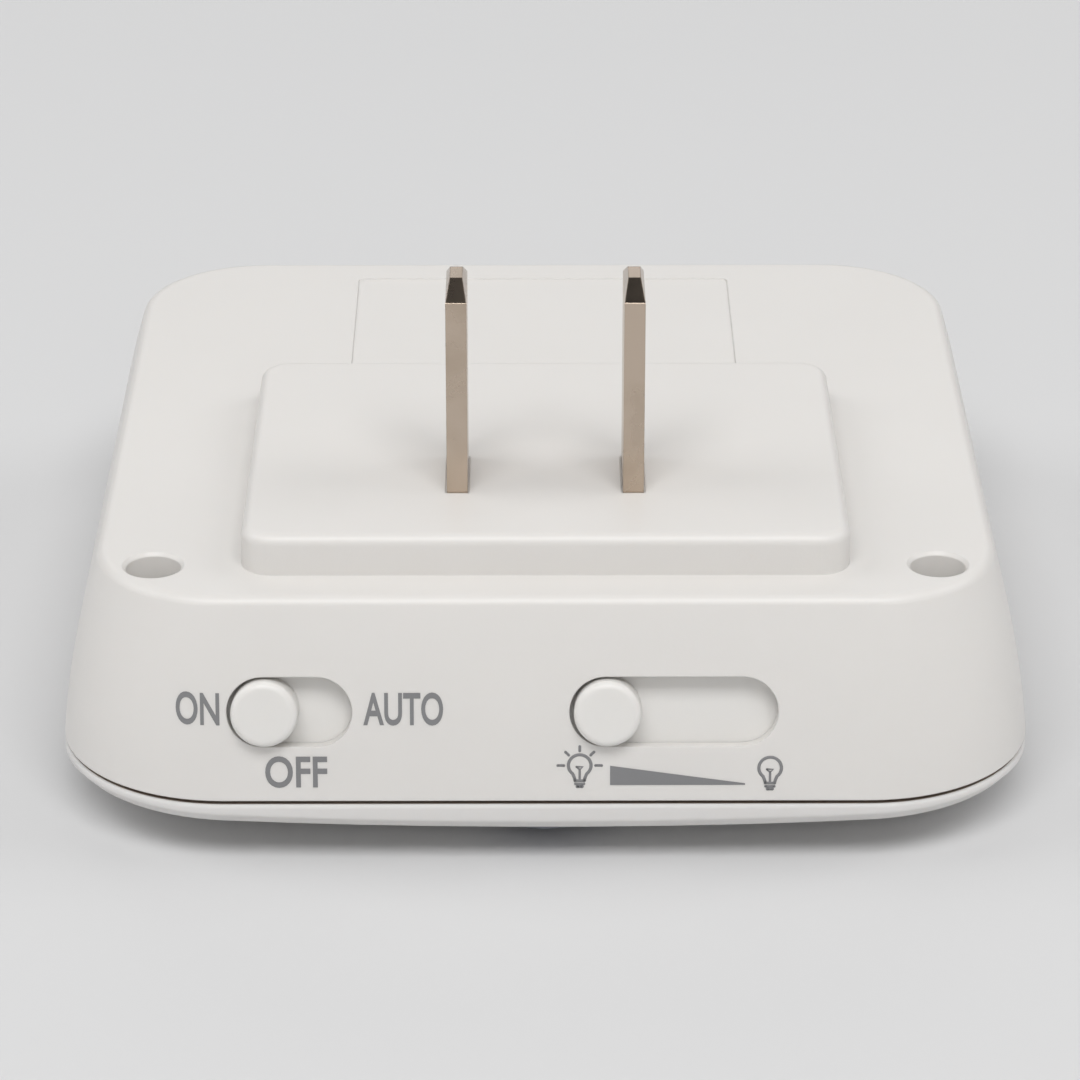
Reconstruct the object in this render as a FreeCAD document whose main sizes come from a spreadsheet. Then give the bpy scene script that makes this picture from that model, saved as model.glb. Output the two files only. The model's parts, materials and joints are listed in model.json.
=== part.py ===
import FreeCAD, Part
import math
import os
import Sketcher

# A square plug in night light, lying on its front with the blades up.
# Origin: on the plug face, midway between the blades. +Z out of the plug face along the blades,
# +Y away from the side with the two sliders, +X to the right when that side is seen. Millimetres.

SIZES = [
    ("blade_spacing", 12.7, "between the blades' middle planes"),
    ("blade_width", 6.35, "blade across Y"),
    ("blade_thickness", 1.5, "blade across X"),
    ("blade_length", 15.8, "blade tip above the plug face"),
    ("tip_slope_run", 2.1, "width taken off each corner of a blade's tip"),
    ("tip_slope_rise", 1.15, "height of those corners"),
    ("tip_thinning", 0.3, "taken off each flat side at the tip"),
    ("tip_thinning_rise", 1.2, "height over which the tip thins"),
    ("foot_length", 5.2, "bent foot of a blade, outwards"),
    ("blade_clearance", 0.1, "around a blade in its slot"),
    ("block_width", 43.3, "plug block across X"),
    ("block_depth", 32.4, "plug block across Y"),
    ("block_height", 3.03, "plug face above the back face"),
    ("block_near_gap", 10.75, "blades' centre to the block's near face"),
    ("block_corner", 2.2, "plan radius of the block"),
    ("block_edge_round", 0.75, "rounding of the block's top edge"),
    ("block_foot_round", 0.35, "fillet at the block's foot"),
    ("block_skin", 2.0, "thickness of the plug face"),
    ("centre_offset", 17.76, "blades' centre to the housing's centre"),
    ("rim_side", 70.3, "housing's square at the parting line"),
    ("back_narrowing", 3.0, "each side's lean in at the back face"),
    ("middle_narrowing", 1.1, "each side's lean in half way down"),
    ("back_corner", 9.2, "plan radius at the back face"),
    ("middle_corner", 10.9, "plan radius half way down"),
    ("rim_corner", 12.2, "plan radius at the parting line"),
    ("housing_depth", 14.55, "back face to the parting line"),
    ("wall_thickness", 1.8, "housing wall"),
    ("back_edge_round", 0.8, "rounding round the back face"),
    ("label_width", 30.2, "label recess across X"),
    ("label_depth", 20.0, "label recess across Y"),
    ("label_far_edge", 46.5, "label recess's far edge from the blades"),
    ("label_recess", 0.12, "depth of the label recess"),
    ("well_inset_side", 4.2, "back face's side edges to the wells"),
    ("well_inset_near", 5.44, "back face's near edge to the wells"),
    ("well_bore", 1.97, "radius of a screw well"),
    ("well_rim_round", 0.25, "rounding at the mouth of a well"),
    ("well_depth", 8.9, "depth of a screw well"),
    ("well_boss", 3.3, "outer radius of a well's boss"),
    ("boss_bottom", 14.5, "plug face down to the boss's end"),
    ("wall_lean", 12.2, "degrees that the slider side leans out"),
    ("slot_level", 11.0, "plug face down to the slots' middle"),
    ("slot_wall_inset", 0.89, "wall at that level, in from the rim"),
    ("slot_height", 5.1, "height of both slots"),
    ("slot_skin", 1.3, "wall left at the slots"),
    ("slot_lip_round", 0.25, "rounding of a slot's lip"),
    ("mode_slot_length", 8.87, "slot of the mode slider"),
    ("mode_slot_inset", 9.85, "left well to the middle of that slot"),
    ("dimmer_slot_length", 14.75, "slot of the dimmer slider"),
    ("dimmer_slot_inset", 18.92, "right well to the middle of that slot"),
    ("knob_diameter", 4.75, "both knobs"),
    ("knob_proud", 0.85, "knob's face out of the wall"),
    ("knob_round", 0.5, "rounding of a knob's face"),
    ("knob_gap", 0.3, "knob to its slot's end at each limit"),
    ("plate_thickness", 0.8, "dust plate behind a slot"),
    ("plate_cover", 0.5, "dust plate past its slot's edge"),
    ("running_gap", 0.1, "clearance of sliding faces"),
    ("socket_side", 3.4, "square socket behind a dust plate"),
    ("socket_depth", 1.3, "length of that socket"),
    ("lever_width", 1.5, "slider lever, square"),
    ("lever_shortfall", 2.6, "lever's end behind the wall at the slots"),
    ("lever_drop", 0.6, "lever's middle below the slot's middle"),
    ("lever_rise", 2.2, "lever's middle above the board"),
    ("slider_setback", 4.1, "wall at the slots to the switches' front"),
    ("slider_case_depth", 4.4, "slide switches across Y"),
    ("case_sheet", 0.3, "sheet of a switch frame"),
    ("mode_case_length", 9.8, "mode switch across X"),
    ("dimmer_case_length", 22.0, "dimmer across X"),
    ("base_thickness", 0.8, "base of a slide switch"),
    ("pin_side", 0.5, "solder pins, square"),
    ("pin_reach", 2.4, "solder pins below the board's back"),
    ("carriage_length", 4.0, "slider inside its switch across X"),
    ("board_thickness", 1.2, "circuit board"),
    ("board_corner", 1.5, "rounding of the board's far corners"),
    ("board_screw_length", 4.6, "shanks of the board screws"),
    ("board_inset", 5.65, "rim to the board's side edges"),
    ("board_far_inset", 6.9, "rim to the board's far edge"),
    ("board_near_setback", 3.6, "wall at the slots to the board's near edge"),
    ("board_step", 8.4, "length of the board's narrow part"),
    ("tongue_inset", 11.45, "rim to the narrow part's side edges"),
    ("post_inset", 5.0, "board's side edges to its screws"),
    ("post_near_inset", 7.5, "board's step to its near screws"),
    ("post_far_inset", 6.0, "board's far edge to its far screws"),
    ("post_outer", 2.6, "radius of a board post"),
    ("screw_shank", 0.95, "radius of all screws' shanks"),
    ("screw_hole", 1.0, "radius of the holes they cut into"),
    ("screw_free_hole", 1.2, "radius of the holes they pass"),
    ("screw_head", 1.75, "radius of the screw heads"),
    ("head_height", 1.2, "height of the screw heads"),
    ("holder_width", 20.0, "blade holder across X"),
    ("holder_depth", 16.8, "blade holder across Y"),
    ("holder_thickness", 2.0, "blade holder"),
    ("holder_screw_place", 6.2, "holder screws from the blades' line"),
    ("holder_boss", 1.9, "radius of the holder's bosses"),
    ("parting_gap", 0.3, "between housing and front cover"),
    ("crown_radius", 480.0, "radius of the crowned front"),
    ("cover_corner_height", 1.34, "cover's side wall at its corners"),
    ("cover_thickness", 1.6, "front cover"),
    ("cover_edge_ease", 0.75, "ease of the cover's front edge"),
    ("cover_lip_round", 0.3, "rounding at the parting line"),
    ("lip_height", 2.2, "cover's lip inside the housing"),
    ("lip_thickness", 1.2, "that lip"),
    ("lip_clearance", 0.3, "lip to the housing's wall"),
    ("cover_post", 2.6, "radius of the cover's screw posts"),
    ("hook_width", 5.0, "snap hooks across X"),
    ("hook_spacing", 32.0, "between the hooks' middles"),
    ("hook_rise", 5.2, "hooks above the cover's edge"),
    ("hook_catch", 0.5, "hook's nose"),
    ("lens_radius", 5.9, "sphere of the sensor window"),
    ("lens_ball_rise", 2.4, "that sphere's middle above the flange's seat"),
    ("lens_inset", 6.49, "rim to the sensor window's middle"),
    ("lens_neck", 4.6, "window's radius where it passes the cover"),
    ("lens_wall", 1.0, "wall of the window"),
    ("lens_flange", 5.5, "radius of the window's flange"),
    ("lens_flange_thickness", 0.6, "that flange"),
    ("lens_seat_rise", 2.2, "flange's seat above the crown's lowest point"),
    ("led_length", 3.5, "LED across"),
    ("led_width", 2.8, "LED along"),
    ("led_height", 0.8, "LED"),
    ("led_ring", 15.0, "radius of the ring of LEDs"),
    ("wire_radius", 0.8, "insulated wires"),
]

doc = FreeCAD.newDocument("night_light")
sheet = doc.addObject("Spreadsheet::Sheet", "Sizes")
for row, (alias, value, note) in enumerate(SIZES, 1):
    sheet.set(f"A{row}", note)
    sheet.set(f"B{row}", str(value))
    sheet.setAlias(f"B{row}", alias)
doc.recompute()


class Size:
    """A number kept together with the sheet formula that gives it."""

    def __init__(self, value, formula):
        self.value = value
        self.formula = formula

    def join(self, other, sign, value):
        return Size(value, f"({self.formula} {sign} {as_size(other).formula})")

    def __add__(self, other):
        return self.join(other, "+", self.value + as_size(other).value)

    def __sub__(self, other):
        return self.join(other, "-", self.value - as_size(other).value)

    def __mul__(self, other):
        return self.join(other, "*", self.value * as_size(other).value)

    def __truediv__(self, other):
        return self.join(other, "/", self.value / as_size(other).value)

    def __radd__(self, other):
        return as_size(other) + self

    def __rsub__(self, other):
        return as_size(other) - self

    def __rmul__(self, other):
        return as_size(other) * self

    def __neg__(self):
        return Size(-self.value, f"(0 - {self.formula})")

    def sine(self):
        return Size(math.sin(math.radians(self.value)), f"sin({self.formula})")

    def cosine(self):
        return Size(math.cos(math.radians(self.value)), f"cos({self.formula})")

    def root(self):
        return Size(math.sqrt(self.value), f"sqrt({self.formula})")


def as_size(number):
    return number if isinstance(number, Size) else Size(float(number), repr(float(number)))


def size(alias):
    return Size(float(sheet.get(alias)), f"Sizes.{alias}")


# Sizes that follow from the sheet
half = {"rim": size("rim_side") / 2}
for level in ("back", "middle"):
    half[level] = half["rim"] - size(f"{level}_narrowing")
centre_y = size("centre_offset")
back_z = -size("block_height")
parting_z = back_z - size("housing_depth")
middle_z = back_z - size("housing_depth") / 2
inner_back_z = back_z - size("wall_thickness")
inner_plug_z = -size("block_skin")
well_y = centre_y - half["back"] + size("well_inset_near")
well_x = half["back"] - size("well_inset_side")
slot_z = -size("slot_level")
slot_y = centre_y - half["rim"] + size("slot_wall_inset")
switch_front = slot_y + size("slider_setback")
lever_z = slot_z - size("lever_drop")
board_back_z = lever_z - size("lever_rise")
board_front_z = board_back_z - size("board_thickness")
cover_top_z = parting_z - size("parting_gap")
corner_reach = (half["rim"] - size("rim_corner")) * math.sqrt(2) + size("rim_corner")
crown_sag = corner_reach * corner_reach / (2 * size("crown_radius"))
crown_z = cover_top_z - size("cover_corner_height") - crown_sag
lens_y = centre_y - half["rim"] + size("lens_inset")
lens_seat_z = crown_z + size("lens_seat_rise")
lens_ball_z = lens_seat_z + size("lens_ball_rise")
board_half = half["rim"] - size("board_inset")
board_near_y = slot_y + size("board_near_setback")
board_step_y = board_near_y + size("board_step")
board_far_y = centre_y + half["rim"] - size("board_far_inset")
post_x = board_half - size("post_inset")
post_near_y = board_step_y + size("post_near_inset")
post_far_y = board_far_y - size("post_far_inset")
post_places = [(sign * post_x, y) for sign in (-1, 1) for y in (post_near_y, post_far_y)]
mode_travel = size("mode_slot_length") - size("knob_diameter") - 2 * size("knob_gap")
dimmer_travel = size("dimmer_slot_length") - size("knob_diameter") - 2 * size("knob_gap")
slot_x = {"mode": size("mode_slot_inset") - well_x, "dimmer": well_x - size("dimmer_slot_inset")}
mode_rest = slot_x["mode"] - mode_travel / 2
dimmer_rest = slot_x["dimmer"] - dimmer_travel / 2
blade_x = size("blade_spacing") / 2
foot_z = inner_plug_z - size("blade_thickness")
holder_z = foot_z - size("holder_thickness")


# Small makers of shapes


def bind(thing, **properties):
    for path, value in properties.items():
        thing.setExpression(path.replace("__", "."), as_size(value).formula)


def place(thing, x=0.0, y=0.0, z=0.0):
    bind(thing, Placement__Base__x=x, Placement__Base__y=y, Placement__Base__z=z)
    return thing


def box(name, low, extent):
    thing = doc.addObject("Part::Box", name)
    bind(thing, Length=extent[0], Width=extent[1], Height=extent[2])
    return place(thing, *low)


def centred_box(name, middle, extent):
    low = [as_size(m) - as_size(e) / 2 for m, e in zip(middle, extent)]
    return box(name, low, extent)


def cylinder(name, base, radius, height, direction="Z"):
    thing = doc.addObject("Part::Cylinder", name)
    turns = {"Z": (0, 0, 1, 0), "X": (0, 1, 0, 90), "Y": (1, 0, 0, -90)}
    x, y, z, angle = turns[direction]
    thing.Placement = FreeCAD.Placement(FreeCAD.Vector(), FreeCAD.Rotation(FreeCAD.Vector(x, y, z), angle))
    bind(thing, Radius=radius, Height=height)
    return place(thing, *base)


def sphere(name, middle, radius):
    """A sphere with its axis along Y, so that no pole lies on a surface that shows."""
    thing = doc.addObject("Part::Sphere", name)
    thing.Placement = FreeCAD.Placement(FreeCAD.Vector(), FreeCAD.Rotation(FreeCAD.Vector(1, 0, 0), 90))
    bind(thing, Radius=radius)
    return place(thing, *middle)


def join(name, things):
    thing = doc.addObject("Part::MultiFuse", name)
    thing.Shapes = things
    return thing


def cut(name, base, tools):
    thing = doc.addObject("Part::Cut", name)
    thing.Base = base
    thing.Tool = tools[0] if len(tools) == 1 else join(f"{name}_tools", tools)
    return thing


def group(name, things):
    thing = doc.addObject("Part::Compound", name)
    thing.Links = things
    return thing


def common(name, things):
    thing = doc.addObject("Part::MultiCommon", name)
    thing.Shapes = things
    return thing


def round_edges(name, base, radius, wanted):
    """Round each edge of base that wanted(edge) picks."""
    doc.recompute()
    thing = doc.addObject("Part::Fillet", name)
    thing.Base = base
    picked = [i for i, edge in enumerate(base.Shape.Edges, 1) if wanted(edge)]
    thing.Edges = [(i, radius.value, radius.value) for i in picked]
    return thing


def tilt(thing, x):
    """Stand a piece, drawn with its face outwards along Z, square on the leaning wall at x."""
    thing.Placement = FreeCAD.Placement(FreeCAD.Vector(), FreeCAD.Rotation(FreeCAD.Vector(1, 0, 0), 80))
    bind(thing, Placement__Rotation__Angle=90 - size("wall_lean"))
    return place(thing, x, slot_y, slot_z)


def rounded_square(sketch, width, depth, radius):
    """Draw a rounded rectangle about the sketch's origin and tie it to its sizes."""
    w, d, r = width.value / 2, depth.value / 2, radius.value
    corners = [(w - r, r - d, -90), (w - r, d - r, 0), (r - w, d - r, 90), (r - w, r - d, 180)]
    for i, (x, y, start) in enumerate(corners):
        before = corners[i - 1]
        turn = math.radians(start)
        begin = (before[0] + r * math.cos(turn), before[1] + r * math.sin(turn))
        end = (x + r * math.cos(turn), y + r * math.sin(turn))
        sketch.addGeometry(Part.LineSegment(FreeCAD.Vector(*begin), FreeCAD.Vector(*end)))
        arc = Part.Circle(FreeCAD.Vector(x, y), FreeCAD.Vector(0, 0, 1), r)
        sketch.addGeometry(Part.ArcOfCircle(arc, turn, turn + math.pi / 2))
    for i in range(4):
        line, arc, following = 2 * i, 2 * i + 1, (2 * i + 2) % 8
        sketch.addConstraint(Sketcher.Constraint("Tangent", line, 2, arc, 1))
        sketch.addConstraint(Sketcher.Constraint("Tangent", arc, 2, following, 1))
        sketch.addConstraint(Sketcher.Constraint("Horizontal" if i % 2 == 0 else "Vertical", line))
        if i:
            sketch.addConstraint(Sketcher.Constraint("Equal", 1, arc))
    sketch.addConstraint(Sketcher.Constraint("Symmetric", 0, 1, 4, 1, -1, 1))
    named = [
        ("wide", Sketcher.Constraint("DistanceX", 6, 1, 2, 1, 2 * w), width),
        ("deep", Sketcher.Constraint("DistanceY", 0, 1, 4, 1, 2 * d), depth),
        ("corner", Sketcher.Constraint("Radius", 1, r), radius),
    ]
    for name, constraint, value in named:
        sketch.renameConstraint(sketch.addConstraint(constraint), name)
        sketch.setExpression(f"Constraints.{name}", value.formula)
    return sketch


def stadium(sketch, length, height):
    """Draw a slot with full round ends about the sketch's origin."""
    flat, r = (length.value - height.value) / 2, height.value / 2
    up = FreeCAD.Vector(0, 0, 1)
    right = Part.Circle(FreeCAD.Vector(flat, 0), up, r)
    left = Part.Circle(FreeCAD.Vector(-flat, 0), up, r)
    sketch.addGeometry(Part.LineSegment(FreeCAD.Vector(-flat, -r), FreeCAD.Vector(flat, -r)))
    sketch.addGeometry(Part.ArcOfCircle(right, -math.pi / 2, math.pi / 2))
    sketch.addGeometry(Part.LineSegment(FreeCAD.Vector(flat, r), FreeCAD.Vector(-flat, r)))
    sketch.addGeometry(Part.ArcOfCircle(left, math.pi / 2, 3 * math.pi / 2))
    for one, other in ((0, 1), (1, 2), (2, 3), (3, 0)):
        sketch.addConstraint(Sketcher.Constraint("Tangent", one, 2, other, 1))
    sketch.addConstraint(Sketcher.Constraint("Horizontal", 0))
    sketch.addConstraint(Sketcher.Constraint("Symmetric", 0, 1, 2, 1, -1, 1))
    named = [
        ("flat", Sketcher.Constraint("DistanceX", 0, 1, 0, 2, 2 * flat), length - height),
        ("round", Sketcher.Constraint("Radius", 1, r), height / 2),
    ]
    for name, constraint, value in named:
        sketch.renameConstraint(sketch.addConstraint(constraint), name)
        sketch.setExpression(f"Constraints.{name}", value.formula)
    return sketch


def plate(name, outline, low, high, middle=(0.0, 0.0)):
    """Raise a free sketch from low to high, with its origin at middle."""
    place(outline, middle[0], middle[1], low)
    thing = doc.addObject("Part::Extrusion", name)
    thing.Base = outline
    thing.DirMode = "Custom"
    thing.Dir = FreeCAD.Vector(0, 0, 1)
    thing.Solid = True
    bind(thing, LengthFwd=as_size(high) - low)
    return thing


def rounded_plate(name, width, depth, radius, low, high, middle=(0.0, 0.0)):
    outline = doc.addObject("Sketcher::SketchObject", f"{name}_outline")
    return plate(name, rounded_square(outline, width, depth, radius), low, high, middle)


def slot_plate(name, length, height, low, high):
    outline = doc.addObject("Sketcher::SketchObject", f"{name}_outline")
    return plate(name, stadium(outline, length, height), low, high)


def named(thing, label):
    thing.Label = label
    nodes[label] = thing
    return thing


nodes = {}


# Rear housing


def body_sketch(body, name, z):
    sketch = body.newObject("Sketcher::SketchObject", name)
    ground = next(f for f in body.Origin.OriginFeatures if f.Role == "XY_Plane")
    sketch.AttachmentSupport = (ground, [""])
    sketch.MapMode = "FlatFace"
    bind(sketch, AttachmentOffset__Base__y=centre_y, AttachmentOffset__Base__z=z)
    return sketch


def housing_loft(body, kind, name, inset, levels):
    """Loft through the housing's plan at these levels, with the sides moved in by inset."""
    sections = []
    for level, z in levels:
        side = 2 * half[level] - 2 * inset
        sketch = body_sketch(body, f"{name}_{level}", z)
        sections.append(rounded_square(sketch, side, side, size(f"{level}_corner") - inset))
    loft = body.newObject(kind, name)
    loft.Profile = sections[0]
    loft.Sections = sections[1:]
    return loft


def on_level(z, slack=0.01):
    return lambda edge: abs(edge.BoundBox.ZMin - z) < slack and abs(edge.BoundBox.ZMax - z) < slack


def rear_housing():
    form = doc.addObject("PartDesign::Body", "housing_form")
    outside = [("back", back_z), ("middle", middle_z), ("rim", parting_z)]
    inside = [("back", inner_back_z), ("middle", middle_z), ("rim", parting_z)]
    loft = housing_loft(form, "PartDesign::AdditiveLoft", "outside", as_size(0.0), outside)
    doc.recompute()
    edges = [f"Edge{i}" for i, e in enumerate(loft.Shape.Edges, 1) if on_level(back_z.value)(e)]
    rounding = form.newObject("PartDesign::Fillet", "back_edge")
    rounding.Base = (loft, edges)
    bind(rounding, Radius=size("back_edge_round"))
    doc.recompute()
    housing_loft(form, "PartDesign::SubtractiveLoft", "inside", size("wall_thickness"), inside)
    doc.recompute()

    block_y = size("block_depth") / 2 - size("block_near_gap")
    block = rounded_plate("plug_block", size("block_width"), size("block_depth"), size("block_corner"),
                          inner_back_z, 0.0, (0.0, block_y))
    block_top = round_edges("block_top", block, size("block_edge_round"), on_level(0.0))
    wall = size("wall_thickness")
    hollow = rounded_plate("block_hollow", size("block_width") - 2 * wall, size("block_depth") - 2 * wall,
                           size("block_corner") - wall / 2, inner_back_z - 1, inner_plug_z, (0.0, block_y))

    solids = [form, block_top]
    bores = [hollow]
    for side, sign in (("left", -1), ("right", 1)):
        x = sign * well_x
        solids.append(cylinder(f"well_boss_{side}", (x, well_y, -size("boss_bottom")), size("well_boss"),
                               size("boss_bottom") + inner_back_z + 0.2))
        bores.append(cylinder(f"well_{side}", (x, well_y, back_z - size("well_depth")), size("well_bore"),
                              size("well_depth") + 1))
        bores.append(mouth(f"well_mouth_{side}", (x, well_y, back_z), size("well_bore"), size("well_rim_round")))
        bores.append(cylinder(f"well_screw_hole_{side}", (x, well_y, -size("boss_bottom") - 1),
                              size("screw_free_hole"), size("boss_bottom")))
        bores.append(centred_box(f"blade_slot_{side}", (sign * blade_x, 0.0, inner_plug_z / 2),
                                 (size("blade_thickness") + 2 * size("blade_clearance"),
                                  size("blade_width") + 2 * size("blade_clearance"), size("block_skin") + 1)))
        boss_y = sign * size("holder_screw_place")
        solids.append(cylinder(f"holder_boss_{side}", (0.0, boss_y, foot_z), size("holder_boss"),
                               size("blade_thickness") + 0.2))
        bores.append(cylinder(f"holder_hole_{side}", (0.0, boss_y, foot_z - 1), size("screw_hole"),
                              size("blade_thickness") + 2))
        bores.append(centred_box(f"hook_pocket_{side}",
                                 (sign * size("hook_spacing") / 2,
                                  centre_y + half["rim"] - wall - 0.1,
                                  cover_top_z + size("hook_rise") - 0.9),
                                 (size("hook_width") + 0.6, 1.6, 1.8)))
    for i, (x, y) in enumerate(post_places):
        solids.append(cylinder(f"post_{i}", (x, y, board_back_z), size("post_outer"),
                               inner_back_z + 0.2 - board_back_z))
        bores.append(cylinder(f"post_hole_{i}", (x, y, board_back_z - 1), size("screw_hole"),
                              size("board_screw_length")))
    label_y = size("label_far_edge") - size("label_depth") / 2
    bores.append(rounded_plate("label_recess", size("label_width"), size("label_depth"), as_size(0.6),
                               back_z - size("label_recess"), back_z + 0.5, (0.0, label_y)))

    guide = housing_guide()
    openings = [guide]
    for name in ("mode", "dimmer"):
        slot = slot_plate(f"{name}_slot", size(f"{name}_slot_length"), size("slot_height"), -3.0, 3.0)
        openings.append(tilt(slot, slot_x[name]))

    return named(cut("housing_carved", join("housing_solids", solids), bores + openings), "rear_housing")


def mouth(name, place_at, radius, ease):
    """The eased mouth of a round hole whose rim is at place_at."""
    thing = doc.addObject("Part::Cone", name)
    bind(thing, Radius1=radius, Radius2=radius + 2 * ease, Height=2 * ease)
    return place(thing, place_at[0], place_at[1], as_size(place_at[2]) - ease)


def housing_guide():
    """The flat pocket behind both slots, in which the dust plates run."""
    height = size("slot_height") + 2 * size("plate_cover") + 4 * size("running_gap")
    left = mode_rest - plate_half("mode") - 2 * size("running_gap")
    right = dimmer_rest + dimmer_travel + plate_half("dimmer") + 2 * size("running_gap")
    pocket = box("guide_pocket", (left, -height / 2, -size("slot_skin") - 2.4), (right - left, height, 2.4))
    return tilt(group("guide", [pocket]), 0.0)


def plate_half(name):
    travel = mode_travel if name == "mode" else dimmer_travel
    return size(f"{name}_slot_length") / 2 + size("plate_cover") + travel / 2


# Front cover and sensor window


def front_cover():
    side, corner = size("rim_side"), size("rim_corner")
    thick = size("cover_thickness")
    ball_z = crown_z + size("crown_radius")
    middle = (0.0, centre_y)
    blank = rounded_plate("cover_blank", side, side, corner, crown_z - 1, cover_top_z, middle)
    crowned = common("cover_crowned", [blank, sphere("crown_ball", (0.0, centre_y, ball_z), size("crown_radius"))])
    doc.recompute()
    top = on_level(cover_top_z.value)
    eased = doc.addObject("Part::Chamfer", "cover_front_edge")
    eased.Base = crowned
    ease = size("cover_edge_ease").value
    eased.Edges = [(i, ease, ease) for i, e in enumerate(crowned.Shape.Edges, 1)
                   if not top(e) and e.BoundBox.ZMax < cover_top_z.value - ease / 2]
    edged = round_edges("cover_lip_edge", eased, size("cover_lip_round"), top)
    hollow_blank = rounded_plate("cover_hollow_blank", side - 2 * thick, side - 2 * thick, corner - thick,
                                 crown_z - 1, cover_top_z + 1, middle)
    hollow = common("cover_hollow", [hollow_blank, sphere("crown_inner_ball", (0.0, centre_y, ball_z),
                                                         size("crown_radius") - thick)])
    shell = cut("cover_shell", edged, [hollow])

    lip_side = side - 2 * size("wall_thickness") - 2 * size("lip_clearance")
    lip_corner = corner - size("wall_thickness") - size("lip_clearance")
    inner_side = lip_side - 2 * size("lip_thickness")
    lip_low, lip_high = cover_top_z - 0.4, cover_top_z + size("lip_height")
    lip = cut("lip", rounded_plate("lip_outside", lip_side, lip_side, lip_corner, lip_low, lip_high, middle),
              [rounded_plate("lip_inside", inner_side, inner_side, lip_corner - size("lip_thickness"),
                             lip_low - 1, lip_high + 1, middle)])
    ledge = cut("ledge", rounded_plate("ledge_outside", side - thick, side - thick, corner - thick / 2,
                                       lip_low - 0.6, lip_low + 0.1, middle),
                [rounded_plate("ledge_inside", inner_side, inner_side, lip_corner - size("lip_thickness"),
                               lip_low - 2, lip_high + 1, middle)])
    hook_y = centre_y + lip_side / 2 - size("lip_thickness")
    solids = [shell, lip, ledge]
    tools = [cylinder("lens_hole", (0.0, lens_y, crown_z - 1), size("lens_neck") + size("running_gap") / 2, 6.0),
             cylinder("lens_seat", (0.0, lens_y, lens_seat_z), size("lens_flange") + size("running_gap"), 6.0)]
    for name, sign in (("left", -1), ("right", 1)):
        post_top = -size("boss_bottom") - size("running_gap")
        solids.append(cylinder(f"cover_post_{name}", (sign * well_x, well_y, crown_z + 2.6), size("cover_post"),
                               post_top - crown_z - 2.6))
        tools.append(cylinder(f"cover_post_hole_{name}", (sign * well_x, well_y, post_top - 3.6),
                              size("screw_hole"), 5.0))
        hook_x = sign * size("hook_spacing") / 2
        solids.append(centred_box(f"hook_{name}",
                                  (hook_x, hook_y + 0.25, (cover_top_z + size("hook_rise") + lip_low) / 2 - 0.2),
                                  (size("hook_width"), 1.1, size("hook_rise") + 0.4)))
        solids.append(centred_box(f"hook_nose_{name}",
                                  (hook_x, hook_y + 0.8 + size("hook_catch") / 2,
                                   cover_top_z + size("hook_rise") - 0.9),
                                  (size("hook_width"), size("hook_catch") + 0.6, 0.8)))
    whole = cut("cover_whole", join("cover_solids", solids), tools)
    return named(whole, "front_cover")


def sensor_window():
    """A domed clear window, turned about its own axis, with a flange cut flat beside the rim."""
    outer, inner = size("lens_radius"), size("lens_radius") - size("lens_wall")
    y, z, seat = lens_y, lens_ball_z, lens_seat_z
    cap = common("lens_cap", [sphere("lens_ball", (0.0, y, z), outer),
                              cylinder("lens_column", (0.0, y, crown_z - 4), size("lens_neck"),
                                       seat - crown_z + 4)])
    flange = cylinder("lens_flange_disc", (0.0, y, seat), size("lens_flange"), size("lens_flange_thickness"))
    rim_inside = centre_y - half["rim"] + size("cover_thickness")
    tools = [sphere("lens_hollow", (0.0, y, z), inner),
             box("lens_flat", (-2 * outer, rim_inside - outer + size("parting_gap"), seat - 0.01),
                 (4 * outer, outer, 3.0))]
    return named(cut("window", join("lens_solids", [cap, flange]), tools), "sensor_window")


# Blades and what holds them


def blade(side, sign):
    thickness, width = size("blade_thickness"), size("blade_width")
    tip, run, rise = size("blade_length"), size("tip_slope_run"), size("tip_slope_rise")
    bar = centred_box(f"bar_{side}", (sign * blade_x, 0.0, (tip + foot_z) / 2), (thickness, width, tip - foot_z))
    foot = centred_box(f"foot_{side}",
                       (sign * (blade_x + size("foot_length") / 2), 0.0, foot_z + thickness / 2),
                       (size("foot_length") + thickness, width, thickness))
    angled = join(f"blade_form_{side}", [bar, foot])
    bend_x = sign * (blade_x - thickness / 2).value
    whole = round_edges(f"blade_bend_{side}", angled, thickness - 0.1,
                        lambda e: on_level(foot_z.value)(e) and abs(e.BoundBox.Center.x - bend_x) < 0.01)
    doc.recompute()
    shape = doc.addObject("Part::Chamfer", f"blade_corners_{side}")
    shape.Base = whole
    top = tip.value

    def short_top(edge):
        return on_level(top)(edge) and edge.Length < width.value - 1

    edges = [i for i, e in enumerate(whole.Shape.Edges, 1) if short_top(e)]
    faces = [whole.Shape.ancestorsOfType(whole.Shape.Edges[i - 1], Part.Face) for i in edges]
    first_is_top = [abs(f[0].normalAt(0, 0).z) > 0.9 for f in faces]
    shape.Edges = [(i, run.value if first else rise.value, rise.value if first else run.value)
                   for i, first in zip(edges, first_is_top)]
    doc.recompute()
    flanks = doc.addObject("Part::Chamfer", f"blade_flanks_{side}")
    flanks.Base = shape
    long_edges = [i for i, e in enumerate(shape.Shape.Edges, 1)
                  if on_level(top)(e) and abs(e.BoundBox.YLength) > abs(e.BoundBox.XLength)]
    thin, climb = size("tip_thinning").value, size("tip_thinning_rise").value
    found = []
    for i in long_edges:
        near = shape.Shape.ancestorsOfType(shape.Shape.Edges[i - 1], Part.Face)
        is_top = abs(near[0].normalAt(0, 0).z) > 0.9
        found.append((i, thin if is_top else climb, climb if is_top else thin))
    flanks.Edges = found
    return named(flanks, f"blade_{side}")


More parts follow.
